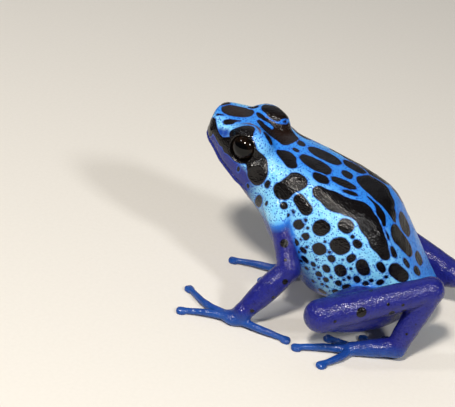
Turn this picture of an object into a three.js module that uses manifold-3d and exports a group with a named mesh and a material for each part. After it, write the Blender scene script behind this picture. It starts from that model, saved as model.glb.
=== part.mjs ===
// A blue poison dart frog, life size, sitting upright on its hands and feet.
// Millimetres, +Z up, with the floor at Z 0. The frog looks along -Y, and its left side is at +X.
// The flesh is parted into named pieces that meet face to face across a thin gap.

import * as THREE from "three";
import { mergeVertices } from "three/addons/utils/BufferGeometryUtils.js";
import Module from "manifold-3d";

const wasm = await Module();
wasm.setup();

// Sizes that drive the whole body
const GAP = 0.3; // between pieces that meet
const MIDDLE = [0.3, -7.306]; // middle of the whole frog over the floor, which the origin lies under
const EYE_RADIUS = 2.3;
const BODY_SIDES = 34;
const RINGS_PER_STATION = 3;
const LIMB_SIDES = 12;
const DIGIT_SIDES = 6;

// The head has its own frame, with its origin midway between the eyes
const HEAD_ORIGIN = new THREE.Vector3(-2.2, -23.7, 27.65);
const HEAD_FORWARD = new THREE.Vector3(-0.156, -0.971, 0.179).normalize();
const HEAD_LEFT = new THREE.Vector3(0.208, 0.144, 0.967).cross(HEAD_FORWARD).normalize();
const HEAD_UP = HEAD_FORWARD.clone().cross(HEAD_LEFT);

// Head sections from the snout back, in the head's frame: how far ahead of the eyes, rise,
// half width, height over the middle, depth under it
const HEAD_SECTIONS = [
  [7.2, -1.4, 1.5, 1.9, 1.5],
  [6.85, -1.6, 2.8, 2.8, 2.0],
  [5.95, -1.8, 3.9, 3.3, 2.35],
  [4.4, -1.95, 4.9, 3.5, 2.9],
  [2.4, -2.5, 6.1, 4.05, 3.6],
  [-0.4, -3.2, 7.0, 5.3, 4.6],
  [-3.4, -4.2, 7.5, 5.5, 5.8],
  [-6.4, -5.6, 7.6, 6.2, 6.6],
];
// Trunk sections from the neck back: middle x, y, z, pitch and roll in degrees, half width, height, depth
const TRUNK_SECTIONS = [
  [-0.9, -15.2, 20.3, 20, 11, 8.3, 6.8, 8.7],
  [-0.5, -12.3, 18.7, 27, 9, 9.2, 7.9, 9.5],
  [-0.1, -8.3, 16.7, 34, 8, 10.0, 9.0, 10.4],
  [-0.1, -4.6, 14.2, 40, 7, 10.5, 9.8, 10.9],
  [-0.1, -1.7, 10.9, 46, 6, 10.3, 9.4, 10.0],
  [-0.1, 1.4, 8.4, 52, 5, 9.4, 8.2, 8.0],
  [-0.1, 5.0, 6.9, 56, 4, 7.6, 6.2, 5.6],
  [0, 8.6, 6.1, 58, 4, 5.0, 4.0, 3.6],
  [0, 10.9, 5.6, 60, 4, 1.6, 1.6, 1.2],
];
const BACK_SQUARENESS = 2.6;
const BELLY_SQUARENESS = 2.3;
const NECK = [-8.0, 0, -5]; // middle of the cut between head and trunk, in the head's frame
const EYE = [-0.75, 4.6, -0.2]; // middle of an eyeball: ahead, outward, up
const EYELID = { middle: [-1.3, 3.6, 0.25], size: [3.75, 2.75, 2.75] };
const EYE_AXIS = [0.12, 0.96, 0.24]; // the way an eye looks out: ahead, outward, up
// Ring of the lids round the eye's open face
const EYE_RIM = { radius: 2.2, thickness: 0.36, out: 1.05, opening: 2.05 };
const NOSTRIL = { place: [6.0, -0.7], size: [0.42, 0.36, 0.6] }; // place: ahead of the eyes and rise
const TYMPANUM = { place: [-4.6, -2.35], radius: 1.5, rim: 0.26 };
// Line of the mouth on each side, from the snout back to its corner: ahead of the eyes and rise
const MOUTH = [
  [7.05, -2.6],
  [6.7, -2.7],
  [5.75, -2.95],
  [4.3, -3.35],
  [2.3, -4.0],
  [-0.4, -4.9],
  [-2.6, -5.7],
  [-4.2, -6.35],
];
const MOUTH_GROOVE = { height: 0.34, depth: 0.75 };
const LIP = { radius: 0.42, rise: 0.4, sunk: 0.3 };

const v = (x, y, z) => new THREE.Vector3(x, y, z);

// Joints of the left and the right limbs
const ARM = {
  left: {
    shoulder: v(5.6, -16.0, 18.6),
    elbow: v(10.4, -12.1, 10.4),
    wrist: v(13.9, -17.9, 2.3),
    palm: v(14.2, -19.2, 1.0),
  },
  right: {
    shoulder: v(-5.8, -14.8, 18.6),
    elbow: v(-11.2, -11.0, 10.6),
    wrist: v(-5.8, -13.0, 2.3),
    palm: v(-4.7, -14.5, 1.0),
  },
};
const LEG = {
  left: {
    hip: v(4.0, 7.0, 6.0),
    knee: v(18.2, -4.9, 7.9),
    ankle: v(10.4, 11.2, 12.9),
    heel: v(12.5, 7.9, 2.1),
    ball: v(14.8, 0.8, 1.1),
  },
  right: {
    hip: v(-4.0, 7.0, 6.2),
    knee: v(-18.2, -3.2, 8.9),
    ankle: v(-8.6, 14.6, 6.4),
    heel: v(-11.0, 5.2, 1.9),
    ball: v(-13.6, -2.4, 1.0),
  },
};
// Each digit as points on the floor: its middle joint and its tip
const FINGERS = {
  left: [
    [[11.4, -18.4], [8.6, -17.4]],
    [[12.2, -24.4], [7.9, -28.4]],
    [[14.6, -23.6], [15.2, -28.0]],
    [[15.5, -14.6], [16.0, -9.9]],
  ],
  right: [
    [[-2.5, -14.3], [-0.2, -14.5]],
    [[-2.7, -16.2], [-0.7, -17.4]],
    [[-5.0, -18.8], [-5.1, -23.7]],
    [[-8.2, -15.0], [-11.8, -14.6]],
  ],
};
const TOES = {
  left: [
    [[10.4, 6.6], [8.3, 6.0]],
    [[11.9, 3.4], [9.7, 2.3]],
    [[13.6, -0.6], [12.3, -3.2]],
    [[16.1, -3.6], [17.4, -7.8]],
    [[17.7, -0.4], [20.6, -3.0]],
  ],
  right: [
    [[-9.2, 3.3], [-7.2, 2.8]],
    [[-10.6, 0.2], [-8.5, -0.9]],
    [[-12.4, -4.2], [-11.1, -6.8]],
    [[-14.9, -7.0], [-16.1, -11.1]],
    [[-16.5, -3.8], [-19.4, -6.4]],
  ],
};
const TOE_ROOTS = [0.35, 0.55, 0.8, 1, 1]; // where each toe leaves the foot, from heel to ball

// Flesh thickness along each limb, as radii from its root to its far end
const UPPER_ARM_RADII = [2.7, 2.15, 1.9, 1.9];
const FOREARM_RADII = [1.9, 2.1, 1.95, 1.55];
const THIGH_RADII = [2.9, 3.7, 3.6, 2.6];
const SHANK_RADII = [2.65, 2.5, 2.4, 2.25];
const TARSUS_RADII = [2.0, 2.1, 1.9, 1.75];
const SOLE_RADII = [1.65, 1.45, 1.15];
const FINGER_RADII = [0.75, 0.6, 0.5];
const TOE_RADII = [0.8, 0.62, 0.5];
const PAD = { length: 0.85, width: 0.85, height: 0.55, lift: 0.32 };
const DIGIT_HEIGHT = 0.62; // middle of a finger over the floor

// A value between the entries of a list, on a Catmull-Rom curve
function along(list, t) {
  const last = list.length - 1;
  const at = Math.min(Math.max(t, 0), 1) * last;
  const i = Math.min(Math.floor(at), last - 1);
  const f = at - i;
  const pick = (k) => list[Math.min(Math.max(k, 0), last)];
  const [a, b, c, d] = [pick(i - 1), pick(i), pick(i + 1), pick(i + 2)];
  const [bend, twist] = [2 * a - 5 * b + 4 * c - d, 3 * b - a - 3 * c + d];
  return 0.5 * (2 * b + (c - a) * f + bend * f * f + twist * f * f * f);
}

// A closed surface through rings of points, with a fan over each end
function loft(rings) {
  const n = rings[0].length;
  const points = rings.flat();
  const index = [];
  for (let r = 0; r < rings.length - 1; r++) {
    for (let k = 0; k < n; k++) {
      const a = r * n + k;
      const b = r * n + ((k + 1) % n);
      index.push(a, b, a + n, b, b + n, a + n);
    }
  }
  for (const [ring, flip] of [[0, true], [rings.length - 1, false]]) {
    const middle = rings[ring].reduce((s, p) => s.add(p), v(0, 0, 0)).divideScalar(n);
    points.push(middle);
    for (let k = 0; k < n; k++) {
      const a = ring * n + k;
      const b = ring * n + ((k + 1) % n);
      index.push(...(flip ? [b, a, points.length - 1] : [a, b, points.length - 1]));
    }
  }
  return new THREE.BufferGeometry().setFromPoints(points).setIndex(index);
}

// A closed geometry as a solid that can be cut and joined
function solid(geometry) {
  const plain = geometry.index ? geometry.toNonIndexed() : geometry.clone();
  plain.deleteAttribute("normal");
  plain.deleteAttribute("uv");
  const merged = mergeVertices(plain, 1e-4);
  const made = new wasm.Manifold(
    new wasm.Mesh({
      numProp: 3,
      vertProperties: merged.attributes.position.array,
      triVerts: new Uint32Array(merged.index.array),
    }),
  );
  if (made.volume() > 0) return made;
  // its faces point inwards, so each is turned round
  const turned = merged.index.array.slice().reverse();
  return new wasm.Manifold(
    new wasm.Mesh({
      numProp: 3,
      vertProperties: merged.attributes.position.array,
      triVerts: new Uint32Array(turned),
    }),
  );
}

// A point in the head's frame
function inHead(ahead, left, up) {
  return HEAD_ORIGIN.clone()
    .addScaledVector(HEAD_FORWARD, ahead)
    .addScaledVector(HEAD_LEFT, left)
    .addScaledVector(HEAD_UP, up);
}

// Every section of head and trunk as numbers: middle, forward, up, half width, top, bottom
function bodySections() {
  const head = HEAD_SECTIONS.map(([ahead, rise, w, top, bottom]) => [
    ...inHead(ahead, 0, rise).toArray(),
    ...HEAD_FORWARD.toArray(),
    ...HEAD_UP.toArray(),
    w,
    top,
    bottom,
  ]);
  const trunk = TRUNK_SECTIONS.map(([x, y, z, pitch, roll, w, top, bottom]) => {
    const p = THREE.MathUtils.degToRad(pitch);
    const r = THREE.MathUtils.degToRad(roll);
    const up = v(0, Math.sin(p), Math.cos(p)).multiplyScalar(Math.cos(r)).add(v(Math.sin(r), 0, 0));
    return [x, y, z, 0, -Math.cos(p), Math.sin(p), ...up.toArray(), w, top, bottom];
  });
  return [...head, ...trunk];
}

// One ring of the body: a squarish oval, flatter over the back than under the belly
function bodyRing(sections, t, grow) {
  const value = (k) => along(sections.map((s) => s[k]), t);
  const middle = v(value(0), value(1), value(2));
  const forward = v(value(3), value(4), value(5)).normalize();
  const left = v(value(6), value(7), value(8)).cross(forward).normalize();
  const up = forward.clone().cross(left);
  const [w, top, bottom] = [value(9) + grow, value(10) + grow, value(11) + grow];
  const ring = [];
  for (let k = 0; k < BODY_SIDES; k++) {
    const angle = (2 * Math.PI * k) / BODY_SIDES;
    const [s, c] = [Math.sin(angle), Math.cos(angle)];
    const power = 2 / (c > 0 ? BACK_SQUARENESS : BELLY_SQUARENESS);
    const out = Math.sign(s) * Math.abs(s) ** power * w;
    const rise = Math.sign(c) * Math.abs(c) ** power * (c > 0 ? top : bottom);
    ring.push(middle.clone().addScaledVector(left, out).addScaledVector(up, rise));
  }
  return ring;
}

function body(grow = 0) {
  const sections = bodySections();
  const count = (sections.length - 1) * RINGS_PER_STATION;
  const rings = [];
  for (let r = 0; r <= count; r++) rings.push(bodyRing(sections, r / count, grow));
  return solid(loft(rings));
}

// A round limb through points, with a radius at each of a few places and rounded ends
function tube(points, radii, sides, steps, grow = 0) {
  const curve = new THREE.CatmullRomCurve3(points, false, "centripetal");
  const caps = sides > DIGIT_SIDES ? 4 : 3;
  const frames = curve.computeFrenetFrames(steps, false);
  const ringAt = (i, shrink, push) => {
    const t = i / steps;
    const r = (along(radii, t) + grow) * shrink;
    const middle = curve.getPointAt(t).addScaledVector(frames.tangents[i], push * (along(radii, t) + grow));
    const ring = [];
    for (let k = 0; k < sides; k++) {
      const angle = (2 * Math.PI * k) / sides;
      ring.push(
        middle
          .clone()
          .addScaledVector(frames.normals[i], Math.cos(angle) * r)
          .addScaledVector(frames.binormals[i], Math.sin(angle) * r),
      );
    }
    return ring;
  };
  const rings = [];
  for (let k = 1; k < caps; k++) {
    const a = (Math.PI / 2) * (k / caps);
    rings.push(ringAt(0, Math.sin(a), -Math.cos(a)));
  }
  for (let i = 0; i <= steps; i++) rings.push(ringAt(i, 1, 0));
  for (let k = caps - 1; k > 0; k--) {
    const a = (Math.PI / 2) * (k / caps);
    rings.push(ringAt(steps, Math.sin(a), Math.cos(a)));
  }
  return solid(loft(rings));
}

function ellipsoid(middle, heading, length, width, height, grow = 0, detail = 10) {
  const ball = new THREE.SphereGeometry(1, detail, Math.round(detail * 0.7));
  const turn = Math.atan2(heading.y, heading.x);
  ball.scale(length + grow, width + grow, height + grow);
  ball.rotateZ(turn);
  ball.translate(middle.x, middle.y, middle.z);
  return solid(ball);
}

// The plane between two limb segments that share a joint, as a unit normal towards the first
function between(a, joint, b) {
  const toA = a.clone().sub(joint).normalize();
  const toB = b.clone().sub(joint).normalize();
  return toA.sub(toB).normalize();
}

function keepSide(piece, normal, point) {
  return piece.trimByPlane(normal.toArray(), normal.dot(point) + GAP / 2);
}

function onFloor(piece) {
  return piece.trimByPlane([0, 0, 1], 0);
}

function largest(piece) {
  return piece.decompose().sort((a, b) => b.volume() - a.volume())[0];
}

const nodes = new Map();

// Head and trunk, parted at the neck
const neckPoint = inHead(...NECK);
const neckNormal = HEAD_FORWARD.clone().add(v(0, -0.92, 0.39)).normalize();
const whole = body();
let head = keepSide(whole, neckNormal, neckPoint);
const trunk = keepSide(whole, neckNormal.clone().negate(), neckPoint);

// The head's half width at a place ahead of the eyes and a rise, inside its outer skin
function headSide(ahead, rise) {
  let [low, high] = [0, 1];
  const column = (k, t) => along(HEAD_SECTIONS.map((s) => s[k]), t);
  for (let i = 0; i < 24; i++) {
    const mid = (low + high) / 2;
    if (column(0, mid) > ahead) low = mid;
    else high = mid;
  }
  const up = rise - column(1, low);
  const share = Math.min(1, Math.abs(up) / column(up > 0 ? 3 : 4, low));
  const power = up > 0 ? BACK_SQUARENESS : BELLY_SQUARENESS;
  return column(2, low) * (1 - share ** power) ** (1 / power);
}

// A closed strip along the mouth: each section is a list of [out, rise] from the line of the mouth
function alongMouth(section) {
  const side = MOUTH.map(([ahead, rise]) => [ahead, headSide(ahead, rise), rise]);
  const points = [
    ...side.toReversed().map(([ahead, out, rise]) => v(ahead, -out, rise)),
    v(MOUTH[0][0] + 0.08, 0, MOUTH[0][1]),
    ...side.map(([ahead, out, rise]) => v(ahead, out, rise)),
  ];
  const line = new THREE.CatmullRomCurve3(points, false, "centripetal");
  const steps = 26;
  const rings = [];
  for (let i = 0; i <= steps; i++) {
    const p = line.getPointAt(i / steps);
    const way = line.getTangentAt(i / steps);
    const out = v(way.y, -way.x, 0).normalize().negate();
    if (out.x * 0.2 + out.y * Math.sign(p.y) < 0) out.negate();
    // thinner towards the corners of the mouth
    const share = Math.min(1, 0.2 + Math.min(i, steps - i) / 4);
    const reach = out.clone().setZ(0).multiplyScalar(share);
    rings.push(section.map(([o, u]) => inHead(p.x + reach.x * o, p.y + reach.y * o, p.z + u * share)));
  }
  return solid(loft(rings));
}

function turnedIntoHead(geometry, [ahead, left, up]) {
  geometry.applyMatrix4(new THREE.Matrix4().makeBasis(HEAD_FORWARD, HEAD_LEFT, HEAD_UP));
  const to = inHead(ahead, left, up);
  return solid(geometry.translate(to.x, to.y, to.z));
}

// A place on the side of the head and the way its skin faces there
function onFace([ahead, rise], sign) {
  const step = 0.4;
  const lean = headSide(ahead + step, rise) - headSide(ahead - step, rise);
  const slope = headSide(ahead, rise + step) - headSide(ahead, rise - step);
  return {
    at: v(ahead, sign * headSide(ahead, rise), rise),
    way: v(-lean / (2 * step), sign, -slope / (2 * step)).normalize(),
  };
}

const lipSection = (rise) =>
  [0, 72, 144, 216, 288].map((d) => {
    const a = THREE.MathUtils.degToRad(d);
    return [Math.cos(a) * LIP.radius - LIP.sunk, Math.sin(a) * LIP.radius + rise];
  });
head = head.add(alongMouth(lipSection(LIP.rise))).add(alongMouth(lipSection(-LIP.rise)));

// Each side of the face: lids round the eye, nostril and tympanum
for (const [side, sign] of [["left", 1], ["right", -1]]) {
  const toSide = ([ahead, out, up]) => v(ahead, sign * out, up);
  const eyeMiddle = toSide(EYE);
  const axis = toSide(EYE_AXIS).normalize();
  const ball = (grow) =>
    turnedIntoHead(new THREE.SphereGeometry(EYE_RADIUS + grow, 16, 11), eyeMiddle.toArray());
  const dome = new THREE.SphereGeometry(1, 16, 10).scale(...EYELID.size);
  const lid = turnedIntoHead(dome, toSide(EYELID.middle).toArray());
  const rim = new THREE.TorusGeometry(EYE_RIM.radius, EYE_RIM.thickness, 6, 16);
  rim.lookAt(axis);
  const rimAt = eyeMiddle.clone().addScaledVector(axis, EYE_RIM.out);
  // the lids' opening widens outwards from the rim
  const window = new THREE.CylinderGeometry(EYE_RIM.opening + 1, EYE_RIM.opening - 0.1, 2.6, 18);
  window.rotateX(Math.PI / 2);
  window.lookAt(axis);
  const windowAt = eyeMiddle.clone().addScaledVector(axis, EYE_RIM.out + 1.05);

  const ear = onFace(TYMPANUM.place, sign);
  const drum = new THREE.TorusGeometry(TYMPANUM.radius, TYMPANUM.rim, 5, 14);
  drum.lookAt(ear.way);
  const nose = onFace(NOSTRIL.place, sign);
  const nostril = new THREE.SphereGeometry(1, 8, 6).scale(...NOSTRIL.size);
  nostril.lookAt(nose.way);
  head = head
    .add(lid)
    .add(turnedIntoHead(rim, rimAt.toArray()))
    .add(turnedIntoHead(drum, ear.at.toArray()))
    .subtract(turnedIntoHead(nostril, nose.at.toArray()))
    .subtract(turnedIntoHead(window, windowAt.toArray()))
    .subtract(ball(GAP));
  nodes.set("eye_" + side, ball(0));
}
const { height, depth } = MOUTH_GROOVE;
head = head.subtract(
  alongMouth([[-depth, height / 2], [-depth, -height / 2], [1, -height / 2], [1, height / 2]]),
);
nodes.set("head", largest(head));
nodes.set("trunk", trunk);
const bodyRoom = body(GAP);

// Straight from one joint to the next
function segment(from, to, radii, sides, steps) {
  return (grow) => tube([from, from.clone().lerp(to, 0.5), to], radii, sides, steps, grow);
}

// A finger or toe: from its root over the middle joint to a pad that rests on the floor
function digit(root, [[mx, my], [tx, ty]], radii, grow = 0) {
  const middle = v(mx, my, DIGIT_HEIGHT + 0.3);
  const tip = v(tx, ty, PAD.lift);
  const way = tip.clone().sub(middle).setZ(0).normalize();
  const end = tip.clone().addScaledVector(way, -0.4).setZ(DIGIT_HEIGHT - 0.1);
  const pad = ellipsoid(tip, way, PAD.length, PAD.width, PAD.height, grow, 8);
  return tube([root, middle, end], radii, DIGIT_SIDES, 4, grow).add(pad);
}

// Digits side by side, each clear of the hand or foot and of its neighbour
function digits(name, roots, points, radii, room) {
  points.forEach((path, i) => {
    let made = digit(roots[i], path, radii).subtract(room);
    if (i > 0) made = made.subtract(digit(roots[i - 1], points[i - 1], radii, GAP));
    nodes.set(`${name}_${i + 1}`, largest(onFloor(made)));
  });
}

// Limbs, each side from its own joints
for (const side of ["left", "right"]) {
  const { shoulder, elbow, wrist, palm } = ARM[side];
  const upperArm = segment(shoulder, elbow, UPPER_ARM_RADII, LIMB_SIDES, 8);
  const forearm = segment(elbow, wrist, FOREARM_RADII, LIMB_SIDES, 8);
  const elbowCut = between(shoulder, elbow, wrist);
  const wristCut = between(elbow, wrist, palm);
  nodes.set("upper_arm_" + side, largest(keepSide(upperArm(0), elbowCut, elbow).subtract(bodyRoom)));
  const fore = keepSide(keepSide(forearm(0), elbowCut.clone().negate(), elbow), wristCut, wrist);
  nodes.set("forearm_" + side, largest(fore.subtract(bodyRoom)));

  const reach = v(...FINGERS[side][2][0], 0).sub(palm).setZ(0);
  const handShape = (grow) =>
    ellipsoid(palm, reach, 2.0, 1.75, 1.15, grow, 12).add(tube([wrist, palm], [1.5, 1.2], 14, 4, grow));
  nodes.set("hand_" + side, largest(onFloor(keepSide(handShape(0), wristCut.clone().negate(), wrist))));
  const knuckles = FINGERS[side].map(([joint]) =>
    palm.clone().addScaledVector(v(...joint, 0).sub(palm).setZ(0).normalize(), 0.9).setZ(0.9),
  );
  digits("finger_" + side, knuckles, FINGERS[side], FINGER_RADII, handShape(GAP));

  const { hip, knee, ankle, heel, ball } = LEG[side];
  const thigh = segment(hip, knee, THIGH_RADII, LIMB_SIDES, 8);
  const shank = segment(knee, ankle, SHANK_RADII, LIMB_SIDES, 8);
  const tarsus = segment(ankle, heel, TARSUS_RADII, LIMB_SIDES - 2, 6);
  const sole = segment(heel, ball, SOLE_RADII, 14, 6);
  const kneeCut = between(hip, knee, ankle);
  const ankleCut = between(knee, ankle, heel);
  const heelCut = between(ankle, heel, ball);
  const shin = keepSide(keepSide(shank(0), kneeCut.clone().negate(), knee), ankleCut, ankle);
  const hock = keepSide(keepSide(tarsus(0), ankleCut.clone().negate(), ankle), heelCut, heel);
  const clearOfShin = (piece) => piece.subtract(bodyRoom).subtract(shank(GAP));
  nodes.set("shank_" + side, largest(shin.subtract(bodyRoom)));
  nodes.set("thigh_" + side, largest(clearOfShin(keepSide(thigh(0), kneeCut, knee))));
  nodes.set("tarsus_" + side, largest(clearOfShin(onFloor(hock)).subtract(thigh(GAP))));
  nodes.set("foot_" + side, largest(onFloor(keepSide(sole(0), heelCut.clone().negate(), heel))));
  const toeRoots = TOE_ROOTS.map((share) => heel.clone().lerp(ball, share).setZ(0.95));
  digits("toe_" + side, toeRoots, TOES[side], TOE_RADII, sole(GAP));
}

// Colours of the skin and the eyes
const LOOKS = [
  [/^(head|trunk)$/, 0x49b0ee],
  [/^(upper_arm|forearm|thigh|shank|tarsus)/, 0x2a2fa8],
  [/^(hand|foot|finger|toe)/, 0x3a86e2],
  [/^eye/, 0x0d0a10],
];

const frog = new THREE.Group();
for (const [name, piece] of nodes) {
  const mesh = piece.getMesh();
  const geometry = new THREE.BufferGeometry()
    .setAttribute("position", new THREE.BufferAttribute(new Float32Array(mesh.vertProperties), 3))
    .setIndex(new THREE.BufferAttribute(mesh.triVerts, 1));
  geometry.computeVertexNormals();
  const color = LOOKS.find(([names]) => names.test(name))[1];
  const skin = new THREE.MeshStandardMaterial({ color, roughness: 0.35, metalness: 0 });
  const made = new THREE.Mesh(geometry, skin);
  made.name = name;
  frog.add(made);
}
frog.position.set(-MIDDLE[0], -MIDDLE[1], 0);

export default frog;
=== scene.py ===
import math

import bpy
import numpy as np
from mathutils import Matrix


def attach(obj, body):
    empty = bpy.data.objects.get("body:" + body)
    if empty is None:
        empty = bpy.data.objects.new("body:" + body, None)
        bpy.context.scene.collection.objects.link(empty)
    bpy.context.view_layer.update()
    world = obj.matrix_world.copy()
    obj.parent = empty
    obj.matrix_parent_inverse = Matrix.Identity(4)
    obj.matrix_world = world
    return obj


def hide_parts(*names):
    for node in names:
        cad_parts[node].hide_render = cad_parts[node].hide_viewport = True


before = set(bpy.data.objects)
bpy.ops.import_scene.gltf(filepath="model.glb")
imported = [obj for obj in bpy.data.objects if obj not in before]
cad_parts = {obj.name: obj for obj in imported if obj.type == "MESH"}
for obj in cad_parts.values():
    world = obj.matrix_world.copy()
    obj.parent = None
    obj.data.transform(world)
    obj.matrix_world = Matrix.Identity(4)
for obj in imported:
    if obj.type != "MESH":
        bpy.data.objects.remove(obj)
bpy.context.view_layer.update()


# The trunk of the frog's body: head and trunk are one tapering form, swept along a spine from snout to vent.
# Each section is a squarish oval, flatter over the back than under the belly. All sizes are millimetres, with
# the sacrum at x = y = 0, the frog looking along -Y and its left side at +X.
MIDDLE = np.array([0.3, -7.306, 0.0])  # the finished pieces have this place at x = y = 0
HEAD_ORIGIN = np.array([-2.2, -23.7, 27.65])  # midway between the eyes
HEAD_SECTIONS = [  # ahead of the eyes, rise, half width, height over the middle, depth under it
    (7.2, -1.4, 1.5, 1.9, 1.5),
    (6.85, -1.6, 2.8, 2.8, 2.0),
    (5.95, -1.8, 3.9, 3.3, 2.35),
    (4.4, -1.95, 4.9, 3.5, 2.9),
    (2.4, -2.5, 6.1, 4.05, 3.6),
    (-0.4, -3.2, 7.0, 5.3, 4.6),
    (-3.4, -4.2, 7.5, 5.5, 5.8),
    (-6.4, -5.6, 7.6, 6.2, 6.6),
]
TRUNK_SECTIONS = [  # middle x, y, z, pitch and roll in degrees, half width, height, depth
    (-0.9, -15.2, 20.3, 20, 11, 8.3, 6.8, 8.7),
    (-0.5, -12.3, 18.7, 27, 9, 9.2, 7.9, 9.5),
    (-0.1, -8.3, 16.7, 34, 8, 10.0, 9.0, 10.4),
    (-0.1, -4.6, 14.2, 40, 7, 10.5, 9.8, 10.9),
    (-0.1, -1.7, 10.9, 46, 6, 10.3, 9.4, 10.0),
    (-0.1, 1.4, 8.4, 52, 5, 9.4, 8.2, 8.0),
    (-0.1, 5.0, 6.9, 56, 4, 7.6, 6.2, 5.6),
    (0.0, 8.6, 6.1, 58, 4, 5.0, 4.0, 3.6),
    (0.0, 10.9, 5.6, 60, 4, 1.6, 1.6, 1.2),
]
BACK_SQUARENESS = 2.6
BELLY_SQUARENESS = 2.3


def unit(vector):
    return np.asarray(vector, float) / np.linalg.norm(vector, axis=-1, keepdims=True)


head_forward = unit([-0.156, -0.971, 0.179])
head_left = unit(np.cross([0.208, 0.144, 0.967], head_forward))
head_up = np.cross(head_forward, head_left)


def between_entries(rows, share):
    """Rows of numbers read at shares of the whole list, on a Catmull-Rom curve."""
    rows = np.asarray(rows, float)
    last = len(rows) - 1
    at = np.clip(np.asarray(share, float), 0, 1) * last
    i = np.minimum(at.astype(int), last - 1)
    f = (at - i).reshape(-1, *[1] * (rows.ndim - 1))
    a, b, c, d = (rows[np.clip(i + k, 0, last)] for k in (-1, 0, 1, 2))
    return 0.5 * (2 * b + (c - a) * f + (2 * a - 5 * b + 4 * c - d) * f**2 + (3 * b - a - 3 * c + d) * f**3)


sections = [
    (*(HEAD_ORIGIN + ahead * head_forward + rise * head_up), *head_forward, *head_up, w, top, bottom)
    for ahead, rise, w, top, bottom in HEAD_SECTIONS
]
for x, y, z, pitch, roll, w, top, bottom in TRUNK_SECTIONS:
    p, r = math.radians(pitch), math.radians(roll)
    upward = (math.sin(r), math.cos(r) * math.sin(p), math.cos(r) * math.cos(p))
    sections.append((x, y, z, 0, -math.cos(p), math.sin(p), *upward, w, top, bottom))

stations = between_entries(sections, np.linspace(0, 1, 321))
spine = stations[:, :3]
spine_forward = unit(stations[:, 3:6])
spine_left = unit(np.cross(stations[:, 6:9], spine_forward))
spine_up = np.cross(spine_forward, spine_left)
half_width, height, depth = stations[:, 9:].T
along_spine = np.concatenate([[0], np.cumsum(np.linalg.norm(np.diff(spine, axis=0), axis=1))])
girth_radius = (half_width + (height + depth) / 2) / 2
taper = np.gradient(girth_radius, along_spine)


def on_spine(points):
    """Place along the spine in mm, offsets to the left and up from it, and distance beyond its ends."""
    found = np.empty((len(points), 5))
    batch = 16000  # points at a time, to spare memory
    for start in range(0, len(points), batch):
        p = points[start:start + batch]
        behind = (spine * spine_forward).sum(1) - p @ spine_forward.T
        far = (p**2).sum(1)[:, None] - 2 * p @ spine.T + (spine**2).sum(1)
        passes = (behind[:, :-1] > 0) & (behind[:, 1:] <= 0)
        j = np.where(passes, far[:, :-1], 1e9).argmin(1)
        rows = np.arange(len(p))
        within = passes[rows, j]
        last = len(spine) - 2
        j = np.where(within, j, np.where(far[:, 0] < far[:, -1], 0, last))
        f = behind[rows, j] / (behind[rows, j] - behind[rows, j + 1] + 1e-12)
        f = np.where(within, f, np.where(j == 0, 0.0, 1.0))
        blend = lambda table: table[j] + (table[j + 1] - table[j]) * (f[:, None] if table.ndim > 1 else f)
        away = p - blend(spine)
        beyond = np.where(within, 0, np.abs((away * blend(spine_forward)).sum(1)))
        leftward, upward = ((away * blend(way)).sum(1) for way in (spine_left, spine_up))
        found[start:start + batch] = np.stack([j + f, blend(along_spine), leftward, upward, beyond], 1)
    return found


def body_field(points):
    """Distance in mm from the plain skin of head and trunk, negative inside."""
    j, _, left, up, beyond = on_spine(points).T
    table = np.arange(len(spine))
    w = np.interp(j, table, half_width)
    b = np.where(up > 0, np.interp(j, table, height), np.interp(j, table, depth))
    n = np.where(up > 0, BACK_SQUARENESS, BELLY_SQUARENESS)
    x, y = np.abs(left) / w + 1e-6, np.abs(up) / b + 1e-6
    k = (x**n + y**n) ** (1 / n)
    slope = np.hypot(x ** (n - 1) / w, y ** (n - 1) / b) * k ** (1 - n)
    d = (k - 1) / slope / np.sqrt(1 + np.interp(j, table, taper) ** 2)
    return np.where(beyond > 0, np.hypot(np.maximum(d, 0), beyond), d)


def join(a, b, width):
    """Two forms as one, with a fillet about as wide as width."""
    h = np.maximum(width - np.abs(a - b), 0) / width
    return np.minimum(a, b) - h**3 * width / 6


def cut(a, b, width):
    """Form a with form b taken out of it, with a rounded edge."""
    return -join(-a, b, width)


# The face: eyelids that stand up as two domes, the raised margin round each eye, the nostrils near the blunt
# tip of the snout, the line of the mouth between thin lips, and the round tympanum behind the eye. Both halves
# are alike, so the field is worked out in the head's own frame, with the outward distance taken as positive.
EYE = np.array([-0.75, 4.6, -0.2])  # middle of the eyeball: ahead, outward, up
EYE_AXIS = unit([0.12, 0.96, 0.24])  # the way it looks out
EYE_RADIUS = 2.3
EYELID_MIDDLE = np.array([-1.3, 3.6, 0.25])
EYELID_SIZE = np.array([3.75, 2.75, 2.75])
LID_MARGIN = {"radius": 2.14, "thickness": 0.3, "out": 1.08}
LID_OPENING = 2.02
OPENING_FLARE = 0.55  # mm wider for each mm out
OPENING_BOTTOM = 0.55
SOCKET_OVERLAP = 0.06  # mm by which the eyeball sinks into its socket
NOSTRIL = (6.0, -0.7)  # ahead of the eyes and rise
TYMPANUM = (-4.6, -2.35)
TYMPANUM_RADIUS = 1.45
TYMPANUM_RELIEF = {"ring": 0.16, "ring_width": 0.24, "dish": 0.14, "reach": 0.9}
NOSTRIL_RIM = {"raised": 0.12, "radius": 0.5, "width": 0.25, "reach": 0.8}
NOSTRIL_BORE = 0.3  # radius
MOUTH = [  # from the tip of the snout back to the corner: ahead of the eyes and rise
    (7.05, -2.6),
    (6.7, -2.7),
    (5.75, -2.95),
    (4.3, -3.35),
    (2.3, -4.0),
    (-0.4, -4.9),
    (-2.6, -5.7),
    (-4.2, -6.35),
]
LIP = {"radius": 0.42, "rise": 0.42, "sunk": 0.3}
MOUTH_GROOVE = 0.17  # radius
FACE_REACH = 13  # mm round the middle of the head
FACE_FILLETS = {"lid": 1.1, "margin": 0.5, "opening": 0.25, "socket": 0.08,
                "lip": 0.45, "mouth": 0.22, "nostril": 0.15}


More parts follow.
